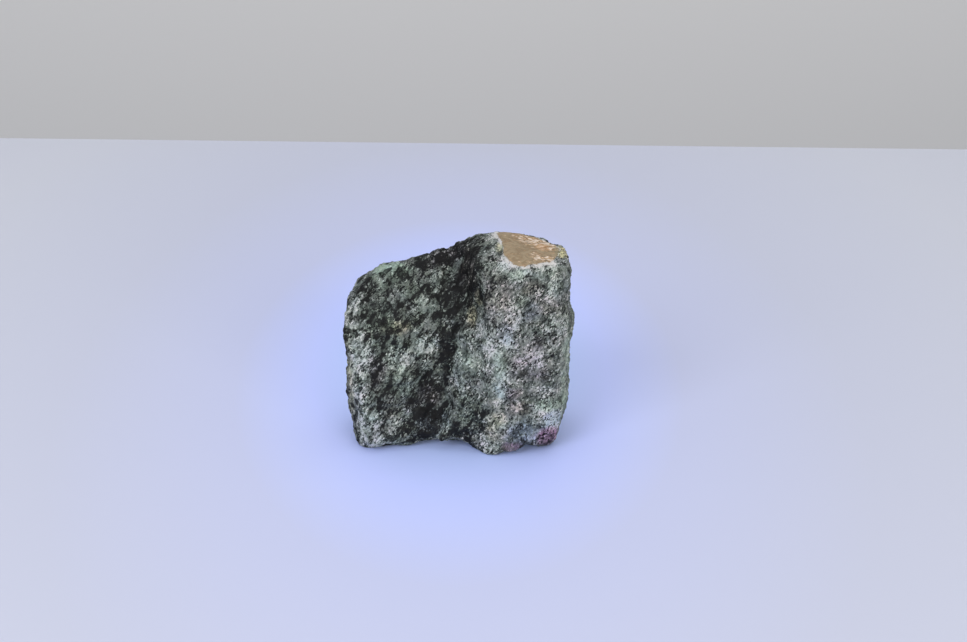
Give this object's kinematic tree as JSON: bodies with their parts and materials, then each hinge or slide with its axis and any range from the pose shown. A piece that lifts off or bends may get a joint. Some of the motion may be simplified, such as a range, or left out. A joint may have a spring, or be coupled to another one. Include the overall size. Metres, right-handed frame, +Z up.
{
  "type": "rough ruby zoisite stone",
  "caption": "Rough hand-sized stone of green-grey ruby zoisite with black specks, broken into blocky faces, with a smooth tan joint face on top.",
  "frame": {"origin": "on the surface the stone stands on, under the middle of its bounding box", "axes": "+Z up, -Y out of the broken front that carries the scoop, +X to the right when looking at that front"},
  "size_m": [0.0696, 0.0414, 0.0634],
  "materials": {
    "stone": "rough"
  },
  "bodies": {
    "root": {"stone": "stone"}
  },
  "joints": []
}
